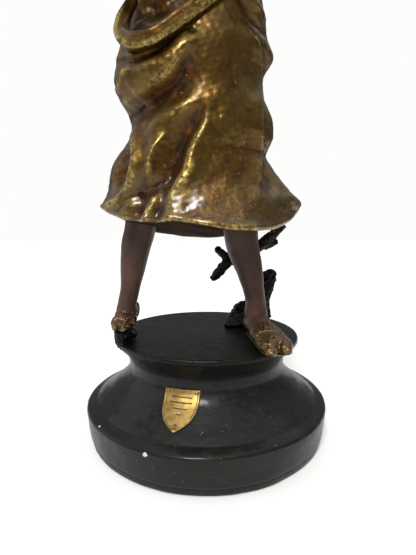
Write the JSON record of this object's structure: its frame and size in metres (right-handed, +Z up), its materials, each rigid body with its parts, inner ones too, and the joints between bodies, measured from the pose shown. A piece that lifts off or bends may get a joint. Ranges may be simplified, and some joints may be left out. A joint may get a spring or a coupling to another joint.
{
  "type": "souvenir figurine",
  "caption": "Standing draped figure painted gold over brown, beside a black tree stump, on a round dark plinth with a small blank brass shield.",
  "frame": {"origin": "centre of the felt pad's underside, under the middle of the plinth", "axes": "+Z up through the plinth and figure; the figure faces -Y; +X to a viewer's right"},
  "size_m": [0.17, 0.17, 0.4108],
  "materials": {
    "plinth_paint": "satin",
    "disc_paint": "satin",
    "gold_paint": "satin",
    "flesh_paint": "satin",
    "bark_paint": "gloss",
    "hair_paint": "satin",
    "brass": "satin",
    "steel": "satin",
    "felt": "matte"
  },
  "bodies": {
    "root": {"plinth_body": "plinth_paint", "ground_disc": "disc_paint", "felt_pad": "felt", "fixing_stud": "steel", "fixing_washer": "steel", "fixing_nut": "steel", "brass_shield": "brass", "shield_pin_upper_right": "brass", "shield_pin_upper_left": "brass", "shield_pin_tip": "brass", "foot_rock": "bark_paint", "root_mound": "bark_paint", "tree_trunk": "bark_paint", "broken_stub": "bark_paint", "branch_inner": "bark_paint", "branch_outer": "bark_paint", "leg_right": "flesh_paint", "foot_right": "flesh_paint", "leg_wire_right": "steel", "sandal_ankle_strap_right": "gold_paint", "sandal_toe_strap_right": "gold_paint", "leg_left": "flesh_paint", "foot_left": "flesh_paint", "leg_wire_left": "steel", "sandal_instep_strap_left": "gold_paint", "sandal_toe_strap_left": "gold_paint", "sandal_sole_left": "gold_paint", "skirt": "gold_paint", "girdle": "gold_paint", "bodice": "gold_paint", "waist_dowel": "steel", "neck_dowel": "steel", "mantle_roll": "gold_paint", "mantle_back_fall": "gold_paint", "sleeve_right": "gold_paint", "arm_right": "flesh_paint", "hand_right": "flesh_paint", "sleeve_left": "gold_paint", "arm_left": "flesh_paint", "hand_left": "flesh_paint", "head": "flesh_paint", "hair": "hair_paint", "hair_knot": "hair_paint"}
  },
  "joints": []
}
